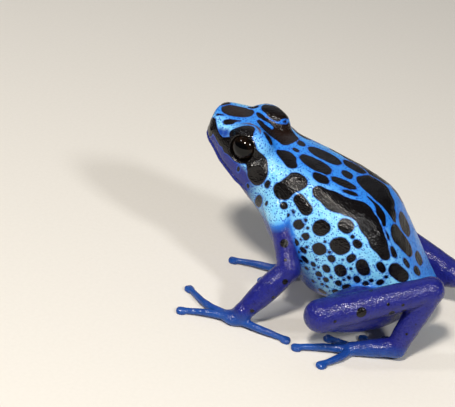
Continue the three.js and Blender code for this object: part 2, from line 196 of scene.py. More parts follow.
def head_side(ahead, rise):
    """Half width of the plain head at a place ahead of the eyes and a rise."""
    shares = np.linspace(0, 1, 200)
    columns = between_entries(HEAD_SECTIONS, shares)
    a, middle, w, top, bottom = (np.interp(-ahead, -columns[:, 0], columns[:, k]) for k in range(5))
    up = rise - middle
    share = min(1, abs(up) / (top if up > 0 else bottom))
    n = BACK_SQUARENESS if up > 0 else BELLY_SQUARENESS
    return w * (1 - share**n) ** (1 / n)


def on_cheek(ahead, rise):
    """A place on the side of the head and the way its skin faces there."""
    lean = (head_side(ahead + 0.4, rise) - head_side(ahead - 0.4, rise)) / 0.8
    slope = (head_side(ahead, rise + 0.4) - head_side(ahead, rise - 0.4)) / 0.8
    return np.array([ahead, head_side(ahead, rise), rise]), unit([-lean, 1, -slope])


def in_head(points):
    """Points in the head's frame, ahead, outward and up, the right half folded onto the left."""
    away = points - HEAD_ORIGIN
    return np.stack([away @ head_forward, np.abs(away @ head_left), away @ head_up], 1)


def from_line(points, line, radii):
    """Distance from a round form along a line of points, with a radius at each point."""
    nearest = np.full(len(points), 1e9)
    for a, b, ra, rb in zip(line[:-1], line[1:], radii[:-1], radii[1:]):
        along = b - a
        share = np.clip((points - a) @ along / (along @ along), 0, 1)
        gap = np.linalg.norm(points - a - share[:, None] * along, axis=1) - (ra + (rb - ra) * share)
        nearest = np.minimum(nearest, gap)
    return nearest


mouth_line = np.array([(MOUTH[0][0] + 0.06, 0.0, MOUTH[0][1])] + [(a, head_side(a, u), u) for a, u in MOUTH])
MOUTH_POINTS = 28
mouth_line = between_entries(mouth_line, np.linspace(0, 1, MOUTH_POINTS))
mouth_ahead, mouth_out = mouth_line[:, 0], mouth_line[:, 1]
lip_out = unit(np.stack([mouth_ahead * 0.12 + 0.1, mouth_out * 0.35 + 1e-3, 0 * mouth_ahead], 1))
lip_share = np.clip((MOUTH_POINTS - np.arange(MOUTH_POINTS)) / 6, 0.25, 1)[:, None]  # thinner at the corners
ear, ear_way = on_cheek(*TYMPANUM)
nose, nose_way = on_cheek(*NOSTRIL)


def face_field(points, plain):
    """The plain head's field with lids, lips, mouth, nostrils and tympanum worked in."""
    near = np.linalg.norm(points - HEAD_ORIGIN, axis=1) < FACE_REACH
    q = in_head(points[near])
    d = plain[near]

    lid = (np.linalg.norm((q - EYELID_MIDDLE) / EYELID_SIZE, axis=1) - 1) * EYELID_SIZE.min()
    d = join(d, lid, FACE_FILLETS["lid"])
    from_eye = q - EYE
    out = from_eye @ EYE_AXIS
    aside = np.linalg.norm(from_eye - out[:, None] * EYE_AXIS, axis=1)
    margin = np.hypot(aside - LID_MARGIN["radius"], out - LID_MARGIN["out"]) - LID_MARGIN["thickness"]
    d = join(d, margin, FACE_FILLETS["margin"])
    opening = np.maximum(aside - LID_OPENING - OPENING_FLARE * (out - LID_MARGIN["out"]), OPENING_BOTTOM - out)
    d = cut(d, opening, FACE_FILLETS["opening"])
    d = cut(d, np.linalg.norm(from_eye, axis=1) - EYE_RADIUS + SOCKET_OVERLAP, FACE_FILLETS["socket"])

    for rise in (LIP["rise"], -LIP["rise"]):
        line = mouth_line - lip_out * LIP["sunk"] * lip_share + np.array([0, 0, rise]) * lip_share
        d = join(d, from_line(q, line, LIP["radius"] * lip_share[:, 0]), FACE_FILLETS["lip"])
    d = cut(d, from_line(q, mouth_line, MOUTH_GROOVE * lip_share[:, 0]), FACE_FILLETS["mouth"])

    level = (q - ear) @ ear_way
    ring = np.linalg.norm(q - ear - level[:, None] * ear_way, axis=1)
    relief = TYMPANUM_RELIEF
    close = np.exp(-((level / relief["reach"]) ** 4))
    d -= relief["ring"] * close * np.exp(-(((ring - TYMPANUM_RADIUS) / relief["ring_width"]) ** 2))
    d += relief["dish"] * close * np.exp(-((ring / (TYMPANUM_RADIUS * 0.8)) ** 4))

    level = (q - nose) @ nose_way
    ring = np.linalg.norm((q - nose - level[:, None] * nose_way) * (0.85, 1, 1.1), axis=1)
    rim = np.exp(-(((ring - NOSTRIL_RIM["radius"]) / NOSTRIL_RIM["width"]) ** 2))
    d -= NOSTRIL_RIM["raised"] * rim * np.exp(-((level / NOSTRIL_RIM["reach"]) ** 4))
    bore = from_line(q, np.array([nose + nose_way, nose - nose_way * 0.5]), [NOSTRIL_BORE] * 2)
    d = cut(d, bore, FACE_FILLETS["nostril"])
    result = plain.copy()
    result[near] = d
    return result


# The limbs: arms that prop the frog up, and hind legs folded along its sides. A limb is a row of rounded
# segments, thicker where the muscle is, that run into one another at elbow, wrist, knee, ankle and heel.
ARMS = {  # shoulder, elbow, wrist, palm
    "left": np.array([(5.6, -16.0, 18.6), (10.4, -12.1, 10.4), (13.9, -17.9, 2.3), (14.2, -19.2, 1.0)]),
    "right": np.array([(-5.8, -14.8, 18.6), (-11.2, -11.0, 10.6), (-5.8, -13.0, 2.3), (-4.7, -14.5, 1.0)]),
}
LEGS = {  # hip, knee, ankle, heel, ball of the foot
    "left": np.array([(4.0, 7.0, 6.0), (18.2, -4.9, 7.9), (10.4, 11.2, 12.9), (12.5, 7.9, 2.1),
                      (14.8, 0.8, 1.1)]),
    "right": np.array([(-4.0, 7.0, 6.2), (-18.2, -3.2, 8.9), (-8.6, 14.6, 6.4), (-11.0, 5.2, 1.9),
                       (-13.6, -2.4, 1.0)]),
}
UPPER_ARM_RADII = (2.7, 2.15, 1.9, 1.9)
FOREARM_RADII = (1.9, 2.1, 1.95, 1.55)
THIGH_RADII = (2.9, 3.7, 3.6, 2.6)
SHANK_RADII = (2.65, 2.5, 2.4, 2.25)
TARSUS_RADII = (2.15, 2.15, 1.9, 1.75)
SOLE_RADII = (1.65, 1.45, 1.15)
LIMB_ROOM = 4.0  # mm round the joints and tips of a limb that it can fill
LIMB_FILLETS = {  # mm: widest, narrowest and how far the wide part reaches
    "body": (2.4, 0.3, 5), "elbow": (1.2, 0.2, 3), "knee": (1.6, 0.15, 3.2), "ankle": (1.2, 0.15, 2.6),
    "heel": (1.2, 0.15, 2.6), "digit": (0.9, 0.12, 2.2),
}


def segment_field(points, start, end, radii):
    """Distance from a limb segment whose radii are spread evenly from start to end."""
    along = end - start
    share = np.clip((points - start) @ along / (along @ along), 0, 1)
    radius = np.interp(share, np.linspace(0, 1, 40), between_entries(np.array(radii), np.linspace(0, 1, 40)))
    return np.linalg.norm(points - start - share[:, None] * along, axis=1) - radius


def within_reach(points, reach, extra):
    """Which points lie in the box round some places, with extra room."""
    return np.all((points > np.min(reach, 0) - extra) & (points < np.max(reach, 0) + extra), axis=1)


def fillet(points, joint, widest, narrow, spread):
    """Width of the fillet between two forms: widest at their joint, and narrow where they only touch."""
    return narrow + (widest - narrow) * np.exp(-(np.linalg.norm(points - joint, axis=1) / spread) ** 2)


# Hands and feet: slim digits that end in blunt discs, each with a pair of small plates on top. Palms, soles
# and discs are flat where they rest on the floor.
FINGERS = {  # middle joint and tip of each, as places on the floor
    "left": [((11.4, -18.4), (8.6, -17.4)), ((12.2, -24.4), (7.9, -28.4)), ((14.6, -23.6), (15.2, -28.0)),
             ((15.5, -14.6), (16.0, -9.9))],
    "right": [((-2.5, -14.3), (-0.2, -14.5)), ((-2.7, -16.2), (-0.7, -17.4)), ((-5.0, -18.8), (-5.1, -23.7)),
              ((-8.2, -15.0), (-11.8, -14.6))],
}
TOES = {
    "left": [((10.4, 6.6), (8.3, 6.0)), ((11.9, 3.4), (9.7, 2.3)), ((13.6, -0.6), (12.3, -3.2)),
             ((16.1, -3.6), (17.4, -7.8)), ((17.7, -0.4), (20.6, -3.0))],
    "right": [((-9.2, 3.3), (-7.2, 2.8)), ((-10.6, 0.2), (-8.5, -0.9)), ((-12.4, -4.2), (-11.1, -6.8)),
              ((-14.9, -7.0), (-16.1, -11.1)), ((-16.5, -3.8), (-19.4, -6.4))],
}
TOE_ROOTS = (0.35, 0.55, 0.8, 1, 1)  # where each toe leaves the foot, from heel to ball
FINGER_RADII = (0.75, 0.6, 0.5)
TOE_RADII = (0.8, 0.62, 0.5)
DISC = {"length": 0.85, "width": 0.85, "height": 0.55, "lift": 0.32}
DISC_SQUARENESS = 2.6
DIGIT_HEIGHT = 0.62


def digit_field(points, root, middle_joint, tip, radii):
    """One finger or toe with its disc."""
    middle = np.array([*middle_joint, DIGIT_HEIGHT + 0.3])
    tip = np.array([*tip, DISC["lift"]])
    way = unit((tip - middle) * (1, 1, 0))
    end = np.array([*(tip - 0.4 * way)[:2], DIGIT_HEIGHT - 0.1])
    reach = within_reach(points, [root, middle, tip], 3.0)
    d = np.full(len(points), 3.0)
    p = points[reach]
    shares = np.linspace(0, 1, 9)
    bone = between_entries(np.array([root, middle, end]), shares)
    finger = from_line(p, bone, between_entries(np.array(radii), shares))
    finger -= 0.07 * np.exp(-(np.linalg.norm(p - middle, axis=1) / 0.7) ** 2)  # knuckle
    ahead, aside, up = (p - tip) @ way, (p - tip) @ np.array([-way[1], way[0], 0]), p[:, 2] - tip[2]
    blunt = [np.abs(away) / DISC[side] for away, side in ((ahead, "length"), (aside, "width"), (up, "height"))]
    n = DISC_SQUARENESS
    disc = ((blunt[0] ** n + blunt[1] ** n + blunt[2] ** n) ** (1 / n) - 1) * DISC["height"]
    plates = np.exp(-((np.abs(aside) - 0.34) / 0.24) ** 2 - ((ahead - 0.15) / 0.5) ** 2) * (up > 0)
    d[reach] = join(finger, disc - 0.07 * plates, 0.35)
    return d


PALM_SIZE = (2.0, 1.75, 1.15)  # half length, half width and half height in mm
WRIST_RADII = (1.5, 1.35, 1.2)


def palm_field(points, palm, toward):
    """The pad of the hand, longer towards the fingers."""
    way = unit((toward - palm) * (1, 1, 0))
    away = points - palm
    local = np.stack([away @ way, away @ np.array([-way[1], way[0], 0]), away[:, 2]], 1) / PALM_SIZE
    return (np.linalg.norm(local, axis=1) - 1) * PALM_SIZE[2]


def arm_field(points, side):
    shoulder, elbow, wrist, palm = ARMS[side]
    d = np.full(len(points), LIMB_ROOM)
    reach = within_reach(points, [*ARMS[side], *[(*tip, 0) for _, tip in FINGERS[side]]], LIMB_ROOM)
    p = points[reach]
    upper = segment_field(p, shoulder, elbow, UPPER_ARM_RADII)
    fore = segment_field(p, elbow, wrist, FOREARM_RADII)
    arm = join(upper, fore, fillet(p, elbow, *LIMB_FILLETS["elbow"]))
    toward = np.array([*FINGERS[side][2][0], 0.0])
    hand = join(palm_field(p, palm, toward), segment_field(p, wrist, palm, WRIST_RADII), 0.8)
    for middle_joint, tip in FINGERS[side]:
        way = unit((np.array([*middle_joint, 0.0]) - palm) * (1, 1, 0))
        root = np.array([*(palm + 0.9 * way)[:2], 0.9])
        digit = digit_field(p, root, middle_joint, tip, FINGER_RADII)
        hand = join(hand, digit, fillet(p, root, *LIMB_FILLETS["digit"]))
    d[reach] = join(arm, hand, 0.9)
    return d


def leg_field(points, side):
    hip, knee, ankle, heel, ball = LEGS[side]
    d = np.full(len(points), LIMB_ROOM)
    reach = within_reach(points, [*LEGS[side], *[(*tip, 0) for _, tip in TOES[side]]], LIMB_ROOM)
    p = points[reach]
    thigh = segment_field(p, hip, knee, THIGH_RADII)
    shank = segment_field(p, knee, ankle, SHANK_RADII)
    tarsus = segment_field(p, ankle, heel, TARSUS_RADII)
    foot = segment_field(p, heel, ball, SOLE_RADII)
    for (middle_joint, tip), share in zip(TOES[side], TOE_ROOTS):
        root = np.array([*(heel + (ball - heel) * share)[:2], 0.95])
        digit = digit_field(p, root, middle_joint, tip, TOE_RADII)
        foot = join(foot, digit, fillet(p, root, *LIMB_FILLETS["digit"]))
    leg = join(thigh, shank, fillet(p, knee, *LIMB_FILLETS["knee"]))
    lower = join(tarsus, foot, fillet(p, heel, *LIMB_FILLETS["heel"]))
    d[reach] = join(leg, lower, fillet(p, ankle, *LIMB_FILLETS["ankle"]))
    return d


# The skin: one closed surface over head, trunk, limbs and digits, with no seam. It is drawn where the joined
# field of all the forms is zero, on a fine grid, and lies flat on the floor under hands and feet.
GRID = 0.265  # mm; a finer one would take the skin past 200,000 triangles
COARSE = 3  # fine cells along each side of a coarse one
NEAR_SKIN = 1.2  # mm from the skin within which the fine grid is worked out
UNEVEN = {"height": 0.035, "turns": (1.9, 1.6, 1.8), "starts": (1, 0, 2)}  # mm, and radians for each mm


def trunk_field(points):
    return face_field(points, body_field(points))


def skin_field(points):
    d = trunk_field(points)
    for side in ("left", "right"):
        d = join(d, arm_field(points, side), fillet(points, ARMS[side][0], *LIMB_FILLETS["body"]))
        d = join(d, leg_field(points, side), fillet(points, LEGS[side][0], *LIMB_FILLETS["body"]))
    d = d + UNEVEN["height"] * np.sin(points * UNEVEN["turns"] + UNEVEN["starts"]).prod(axis=1)
    return np.maximum(d, -points[:, 2])


def points_of(lows, counts, pitch):
    axes = [low + pitch * np.arange(count) for low, count in zip(lows, counts)]
    return np.stack(np.meshgrid(*axes, indexing="ij"), -1).reshape(-1, 3)


lowest = np.array([-21.8, -32.4, -1.5 * GRID])  # the floor runs half-way through a row of cells
coarse_counts = (60, 68, 44)
grid = skin_field(points_of(lowest, coarse_counts, COARSE * GRID)).reshape(coarse_counts)
for axis in range(3):
    fine = np.arange(COARSE * (grid.shape[axis] - 1) + 1)
    low = np.minimum(fine // COARSE, grid.shape[axis] - 2)
    share = ((fine - COARSE * low) / COARSE).reshape([-1 if k == axis else 1 for k in range(3)])
    grid = grid.take(low, axis) * (1 - share) + grid.take(low + 1, axis) * share
counts = grid.shape
grid = grid.reshape(-1)
close = np.flatnonzero(np.abs(grid) < NEAR_SKIN)
grid[close] = skin_field(lowest + GRID * np.stack(np.unravel_index(close, counts), 1))
grid = grid.reshape(counts)

inside = grid < 0
cells = tuple(np.array(counts) - 1)
crossed = np.zeros(cells, np.int8)
total = np.zeros((*cells, 3))
for axis in range(3):
    front = [slice(None)] * 3
    back = [slice(None)] * 3
    front[axis], back[axis] = slice(1, None), slice(None, -1)
    a, b = grid[tuple(back)], grid[tuple(front)]
    change = (a < 0) != (b < 0)
    share = np.where(change, a / np.where(change, a - b, 1), 0)
    others = [k for k in range(3) if k != axis]
    for shift_one in (0, 1):
        for shift_two in (0, 1):
            take = [slice(None)] * 3
            take[others[0]] = slice(shift_one, shift_one + cells[others[0]])
            take[others[1]] = slice(shift_two, shift_two + cells[others[1]])
            hit = change[tuple(take)]
            crossed += hit
            total[..., axis] += np.where(hit, share[tuple(take)], 0)
            total[..., others[0]] += hit * shift_one
            total[..., others[1]] += hit * shift_two
used = np.flatnonzero(crossed.reshape(-1))
number = np.full(np.prod(cells), -1)
number[used] = np.arange(len(used))
number = number.reshape(cells)
corner = np.stack(np.unravel_index(used, cells), 1)
places = lowest + GRID * (corner + total.reshape(-1, 3)[used] / crossed.reshape(-1)[used, None])

faces = []
for axis in range(3):
    one, two = [k for k in range(3) if k != axis]
    back = [slice(1, -1)] * 3
    front = [slice(1, -1)] * 3
    back[axis], front[axis] = slice(0, -1), slice(1, None)
    starts = inside[tuple(back)]
    change = starts != inside[tuple(front)]
    at = np.argwhere(change)
    at[:, one] += 1
    at[:, two] += 1
    leaves = starts[change]
    quad = []
    for back_one, back_two in ((1, 1), (0, 1), (0, 0), (1, 0)):
        cell = at.copy()
        cell[:, one] -= back_one
        cell[:, two] -= back_two
        quad.append(number[tuple(cell.T)])
    quad = np.stack(quad, 1)
    flip = leaves if axis != 1 else ~leaves
    quad[~flip] = quad[~flip][:, ::-1]
    faces.append(quad)
faces = np.concatenate(faces)

step, furthest = 0.02, 0.12  # mm
for _ in range(2):  # moved onto the surface itself
    d = skin_field(places)
    slope = np.stack([(skin_field(places + step * way) - d) / step for way in np.eye(3)], 1)
    places -= np.clip(d / (slope**2).sum(1).clip(0.25), -furthest, furthest)[:, None] * slope
places[:, 2] = np.maximum(places[:, 2], 0)

skin_mesh = bpy.data.meshes.new("skin")
skin_mesh.vertices.add(len(places))
skin_mesh.vertices.foreach_set("co", ((places - MIDDLE) / 1000).astype(np.float32).reshape(-1))
skin_mesh.loops.add(faces.size)
skin_mesh.loops.foreach_set("vertex_index", faces.astype(np.int32).reshape(-1))
skin_mesh.polygons.add(len(faces))
skin_mesh.polygons.foreach_set("loop_start", np.arange(0, faces.size, 4, dtype=np.int32))
skin_mesh.polygons.foreach_set("use_smooth", np.ones(len(faces), bool))
skin_mesh.update(calc_edges=True)
skin_mesh.validate()
skin = bpy.data.objects.new("skin", skin_mesh)
bpy.context.scene.collection.objects.link(skin)


# The markings: black spots with rounded outlines over sky blue, large on the back and small and round on the
# flanks. Each is given on the flattened skin: mm along the back from the snout, degrees round the body from
# the midline with the frog's left as positive, and half sizes in mm, with a tilt in degrees to the belly.
BACK_SPOTS = [  # along, round, half length, half width, tilt
    (15.8, -16.5, 0.62, 0.85, 0), (15.65, 4, 0.5, 0.5, 0),  # nape
    (19.3, -14.5, 2.4, 1.6, 2), (18.75, 11.5, 2.3, 1.65, 2), (20.15, 28, 1.25, 1.0, -15),
    (23.5, -22.5, 1.75, 1.4, 0), (23.0, 0, 0.85, 1.05, 0), (23.1, 17, 1.85, 0.9, -18),
    (24.5, 24, 1.25, 0.42, -28),
    (33.7, -3.5, 1.75, 1.9, -8), (39.0, 3, 1.2, 1.4, 0), (39.9, 22.5, 1.0, 0.8, 0), (37.4, 30, 0.9, 0.5, 0),
    (32.1, 32.5, 0.8, 0.28, 8), (34.6, 36.5, 0.95, 0.6, 5),
]
FLANK_SPOTS = [
    (14.4, 102.5, 0.65, 1.5, 8), (14.75, 70.5, 0.4, 0.65, 0), (19.6, 78, 0.4, 0.45, 0),
    (19.3, 84, 0.25, 0.5, 20), (21.7, 84, 0.85, 1.05, 10), (23.85, 89, 0.65, 0.7, 15),
    (24.5, 71, 1.25, 1.4, 0), (22.0, 75.5, 0.3, 0.35, 0), (26.8, 54.5, 1.15, 1.15, 0),
    (29.9, 59.5, 0.75, 0.65, 0), (35.1, 54.5, 0.95, 0.6, 5), (36.8, 56.5, 0.3, 0.3, 0),
    (37.1, 64, 0.5, 0.65, 0), (33.45, 67.5, 1.45, 1.0, 8), (28.5, 71.7, 1.5, 1.5, 8),
    (31.1, 71.5, 0.65, 0.85, 0), (34.75, 78.3, 0.7, 0.55, 12), (36.1, 75, 0.5, 0.5, 0),
    (36.3, 82.5, 0.35, 0.35, 0), (26.9, 88.5, 1.15, 1.15, 12), (29.4, 86.5, 0.72, 0.65, 8),
    (32.0, 86.6, 1.15, 1.05, 0), (33.8, 83.5, 0.45, 0.35, 0), (35.5, 92, 0.9, 0.8, 14),
    (33.9, 96, 0.6, 0.55, 0), (30.4, 97.5, 0.85, 0.65, 0), (32.3, 98.3, 0.4, 0.3, 0),
    (23.4, 102.3, 0.85, 0.55, 15), (25.4, 102.8, 0.75, 0.5, 0), (28.6, 105.8, 0.55, 0.42, 10),
    (32.3, 105, 0.55, 0.5, 0), (35.5, 105.3, 0.75, 0.65, 0), (25.0, 108.8, 0.45, 0.38, 0),
    (27.0, 109.3, 0.9, 0.48, 0), (30.8, 108.8, 0.7, 0.6, 0), (33.7, 108.8, 0.4, 0.25, 0),
    (28.7, 115.8, 0.5, 0.38, 0), (27.2, 118.3, 0.5, 0.38, 0), (34.5, 119.3, 0.9, 0.6, 0),
    (31.7, 120.3, 0.5, 0.35, 0), (11.6, 96, 0.35, 0.45, 0), (8.9, 87, 0.3, 0.5, 0),
    (29.5, 103.3, 0.25, 0.25, 0), (26.5, 78.5, 0.25, 0.25, 0), (30.6, 78.5, 0.22, 0.22, 0),
    (32.6, 77, 0.25, 0.25, 0), (23.1, 80, 0.28, 0.28, 0), (28.6, 58, 0.3, 0.3, 0),
    (28.3, 83, 0.25, 0.25, 0), (28.1, 99, 0.25, 0.25, 0), (25.4, 97, 0.28, 0.28, 0),
    (23.7, 95, 0.28, 0.25, 0), (33.8, 89, 0.25, 0.25, 0), (36.1, 69, 0.38, 0.35, 0),
    (31.5, 111, 0.32, 0.3, 0), (32.9, 112, 0.3, 0.3, 0), (26.9, 115, 0.38, 0.3, 0),
    (29.4, 109, 0.28, 0.25, 0),
]
# Blotches that bend or run together, as a line of (along, round, radius in mm)
BLOTCHES = [
    [(14.1, 26, 0.6), (15.2, 24.5, 1.15), (16.0, 32, 0.85)],
    [(17.8, 47, 1.25), (17.3, 57, 1.05), (16.8, 67.5, 1.2)],  # shoulder
    [(19.2, 63, 0.95), (20.9, 66, 1.0)],
    [(21.3, 44, 1.3), (23.3, 43, 1.7), (25.4, 39, 1.5), (27.1, 34.5, 1.75), (29.2, 39.5, 1.7),
     (31.6, 43.5, 1.45), (33.8, 44, 1.05)],  # the long one down the side of the back
    [(36.8, 45.5, 1.1), (38.4, 43.5, 1.2)],
    [(25.9, -3.5, 1.7), (27.1, -13, 2.1), (28.5, -2, 2.1), (26.3, 2, 1.1), (28.0, 5, 1.2), (30.4, 7.5, 1.25),
     (31.5, 12.5, 0.55)],  # middle of the back
    [(26.7, 14.5, 0.14), (28.4, 17.5, 0.35), (29.4, 22.5, 0.75), (30.6, 28.5, 0.4)],
    [(33.3, 20.5, 1.55), (36.0, 15.5, 1.5)],
    [(12.8, -52, 1.0), (15.5, -42, 0.8), (18.3, -44, 0.6)],
    [(27.6, -40, 0.9), (29.6, -33, 1.0), (31.4, -29, 0.8)],
]
# Marks on the head, as lines of (ahead of the eyes, left, up, radius in mm); the mask is alike on both sides
HEAD_MARKS = [
    [(4.9, 0.1, 1.6, 1.5), (2.7, -1.25, 1.6, 1.5)],  # top of the snout
    [(4.1, 2.9, 1.1, 0.55), (3.5, 2.5, 1.3, 0.6), (3.0, 1.9, 1.45, 0.28), (2.3, 1.4, 1.55, 0.14)],  # its ridge
    [(6.1, 2.1, 1.0, 0.3), (5.0, 1.8, 1.4, 0.15)],
    [(6.5, -0.9, 1.2, 0.7), (6.2, -1.7, 1.0, 0.6)],
    [(2.6, -3.3, 1.5, 0.5), (1.2, -3.4, 1.8, 0.5)],
    [(-0.5, -3.5, 2.6, 1.3), (-1.9, -3.6, 2.6, 1.9), (-2.8, -4.3, 2.2, 1.2)],  # right eyelid
    [(-3.9, -2.9, 2.1, 0.55), (-4.1, -3.1, 2.0, 0.55)],
    [(0.6, -1.75, 2.1, 0.3), (-0.1, -1.35, 2.1, 0.5), (-0.9, -1.2, 2.1, 0.4), (-2.0, -1.5, 1.9, 0.4),
     (-3.2, -1.6, 1.6, 0.5), (-5.0, -2.4, 0.8, 1.8), (-6.0, -2.2, 0.4, 1.3), (-5.4, -0.4, 0.7, 1.3),
     (-4.3, -0.6, 1.1, 1.7), (-2.9, 0.3, 1.5, 1.1), (-1.9, 0.4, 1.8, 0.8), (-0.5, 0.0, 2.1, 0.45)],  # nape
    [(-3.0, 2.8, 2.6, 0.62), (-3.55, 2.95, 2.35, 0.75), (-4.3, 3.15, 1.95, 0.62)],
]
LEFT_LID = [(1.9, 4.6, 1.1, 0.8), (0.8, 4.1, 2.2, 0.9), (-0.2, 3.9, 2.7, 1.0), (-0.6, 4.8, 2.4, 0.9)]
LID_RIM = [  # the brown edge of the left lid
    (1.6, 1.9, 1.7, 0.1), (0.6, 1.7, 2.0, 0.3), (-0.6, 2.0, 2.5, 0.32), (-1.5, 2.7, 2.9, 0.3),
    (-2.1, 3.5, 2.9, 0.15),
]
MASK = [  # ahead of the eye to the tip of the snout, round the eye, and behind it over the tympanum
    [(7.0, 1.0, -0.5, 1.2), (6.6, 2.2, -1.0, 1.2), (6.0, 3.5, -1.5, 1.0), (6.2, 3.0, -0.1, 0.85),
     (5.6, 4.0, -0.4, 0.75), (4.5, 4.8, -0.8, 0.65), (3.2, 5.6, -1.0, 0.8), (2.0, 5.7, -0.3, 0.95),
     (1.9, 6.1, -1.0, 1.1), (0.8, 6.3, -1.0, 1.0)],
    [(-0.6, 5.9, 0.1, 2.55), (-0.65, 5.8, 0.1, 2.55)],
    [(-2.6, 5.9, -0.2, 1.5), (-4.0, 6.3, -1.2, 1.75), (-4.7, 7.0, -2.4, 1.7), (-4.9, 7.3, -3.2, 1.2)],
]
NAPE_ISLAND = [(-1.4, -0.55, 2.0, 0.3), (-2.6, -0.75, 1.6, 0.38)]  # blue inside the black of the nape
SPOTS_APART = 0.28  # mm of blue kept between two spots
SHOULDER_SPOTS = [(7.8, -15.2, 20.3, 0.68), (7.0, -18.2, 19.5, 0.42), (9.4, -14.9, 16.1, 0.25)]
LIMB_SPOTS = [  # x, y, z and radius, on arms and legs of the left side and then of the right
    (10.1, -13.7, 14.7, 0.72), (11.3, -12.9, 12.4, 0.33), (12.7, -12.1, 9.2, 0.52),
    (13.5, -13.5, 6.3, 0.35), (14.6, -16.4, 3.6, 0.5), (17.8, 1.3, 10.1, 0.86), (19.8, -2.4, 8.5, 0.3),
    (15.8, 5.1, 11.6, 0.33), (14.8, 7.4, 11.6, 0.33), (15.3, 6.0, 9.9, 0.57), (14.4, 7.9, 10.3, 0.4),
    (13.3, 10.2, 7.8, 0.22), (13.7, 9.1, 5.8, 0.25), (17.6, -2.4, 5.2, 0.3), (14.6, 2.0, 12.5, 0.28),
    (8.7, 7.4, 6.5, 0.4), (-12.3, -12.0, 13.6, 0.6), (-10.4, -13.2, 7.6, 0.45), (-17.2, 3.2, 9.6, 0.8),
    (-14.2, 8.0, 9.3, 0.35),
]
SPOTLESS_LIMB = 0.62  # share of limb in the skin past which the body's spots end
SPOTTED_SHOULDER = (7.4, -16.8, 19.6)  # round this the body's spots run on
SHOULDER_REACH = 2.5
SNOUT_PATCH = [(4.1, 4.5, -0.1), (3.2, 4.6, 0.3)]  # deeper blue between the mask and the ridge of the snout
SNOUT_PATCH_REACH = 0.9
BROWN_AREAS = [(3.9, -0.5, 1.5, 2.6), (-0.4, 2.2, 2.6, 1.3), (-4.8, -1.8, 0.9, 2.8)]  # brown tinge in the black
SHOULDER_BLUE = {"out": 1.8, "ahead": 0.8, "up": 1.0, "radius": 2.6, "fade": 2.0}  # body's blue on the arm
SPOT_SQUARENESS = 2.3


def flattened(along, degrees, middle):
    """Places along and round the body as two flat distances in mm, true at the girth of a middle."""
    return np.stack([along, np.radians(degrees) * np.interp(middle, along_spine, girth_radius)], -1)


def from_spot(on_body, along, degrees, length, width, tilt):
    """Distance in mm from the outline of an oval spot, negative inside."""
    away = flattened(*on_body, along) - flattened(along, degrees, along)
    t = math.radians(tilt)
    x = (away[:, 0] * math.cos(t) + away[:, 1] * math.sin(t)) / length
    y = (away[:, 1] * math.cos(t) - away[:, 0] * math.sin(t)) / width
    n = SPOT_SQUARENESS
    return ((np.abs(x) ** n + np.abs(y) ** n) ** (1 / n) - 1) * min(length, width)


def from_blotch(on_body, line):
    line = np.array(line)
    middle = line[:, 0].mean()
    centres, flat = flattened(line[:, 0], line[:, 1], middle), flattened(*on_body, middle)
    result = np.full(len(flat), 1e3)
    for k in range(len(line) - 1):
        result = join(result, from_line(flat, centres[k:k + 2], line[k:k + 2, 2]), 0.6)
    return result


def from_marks(points, line):
    line = np.array(line)
    return from_line(points, line[:, :3], line[:, 3])


_, along, left, up, _ = on_spine(places).T
degrees = np.degrees(np.arctan2(left, up))
trunk = trunk_field(places)
limbs = np.minimum.reduce([arm_field(places, s) for s in ARMS] + [leg_field(places, s) for s in LEGS])
limb = np.clip(0.5 + (trunk - limbs) / 1.6, 0, 1)
on_body, mirrored = (along, degrees), (along, -degrees)
in_left_half = (places - HEAD_ORIGIN) @ np.stack([head_forward, head_left, head_up], 1)
in_either_half = in_left_half * np.where(in_left_half[:, 1:2] < 0, (1, -1, 1), 1)
spots = [from_spot(on_body, *one) for one in BACK_SPOTS + FLANK_SPOTS]
spots += [from_blotch(on_body, line) for line in BLOTCHES]

# the right side carries spots of the same kinds, none in quite the same place
draw = np.random.default_rng(11)
for a, r, length, width, tilt in BACK_SPOTS + FLANK_SPOTS:
    if r > 33:
        moved = (a + draw.uniform(-0.35, 0.35), r + draw.uniform(-2, 2), length * draw.uniform(0.85, 1.15),
                 width * draw.uniform(0.85, 1.15), -tilt)
        spots.append(from_spot(mirrored, *moved))
for line in BLOTCHES:
    if min(r for _, r, _ in line) > 25:
        a, r = draw.uniform(-0.4, 0.4), draw.uniform(-2, 2)
        spots.append(from_blotch(mirrored, [(x + a, y + r, z) for x, y, z in line]))

spots += [from_marks(in_left_half, line) for line in HEAD_MARKS]
face = from_marks(in_left_half, LEFT_LID)
for line in MASK:
    face = join(face, from_marks(in_either_half, line), 0.5)
spots.append(face)
for x, y, z, size in SHOULDER_SPOTS:
    spots.append(np.linalg.norm(places - (x, y, z), axis=1) - size)
nearest, second = np.partition(np.stack(spots), 1, axis=0)[:2]
spot = np.maximum(nearest, (SPOTS_APART - second + nearest) / 2)
spot = np.maximum(spot, -from_marks(in_left_half, NAPE_ISLAND))
off_shoulder = np.linalg.norm(places - SPOTTED_SHOULDER, axis=1) > SHOULDER_REACH
spot = spot + 10 * np.clip(limb - SPOTLESS_LIMB, 0, 1) * off_shoulder
for x, y, z, size in LIMB_SPOTS:
    spot = np.minimum(spot, np.linalg.norm(places - (x, y, z), axis=1) - size)
rim = np.clip(0.5 - from_marks(in_left_half, LID_RIM) / 0.2, 0, 1)
for arm in ARMS.values():
    patch = arm[0] + (SHOULDER_BLUE["out"] * np.sign(arm[0][0]), -SHOULDER_BLUE["ahead"], SHOULDER_BLUE["up"])
    away = np.linalg.norm(places - patch, axis=1)
    limb = np.minimum(limb, np.clip((away - SHOULDER_BLUE["radius"]) / SHOULDER_BLUE["fade"], 0, 1))
digit = np.clip((3.4 - places[:, 2]) / 2.4, 0, 1) * (limb > 0.5)
# the flanks: sky blue, partly the skin's own colour and partly lightened toward white as a painted sheen
flank_and_sheen = np.clip((np.abs(degrees) - 24) / 26, 0, 1)
# the underside gets a deeper blue: partly the skin's own colour and partly painted shade on the side that faces
# down
belly = np.clip((np.abs(degrees) - 106) / 20, 0, 1)
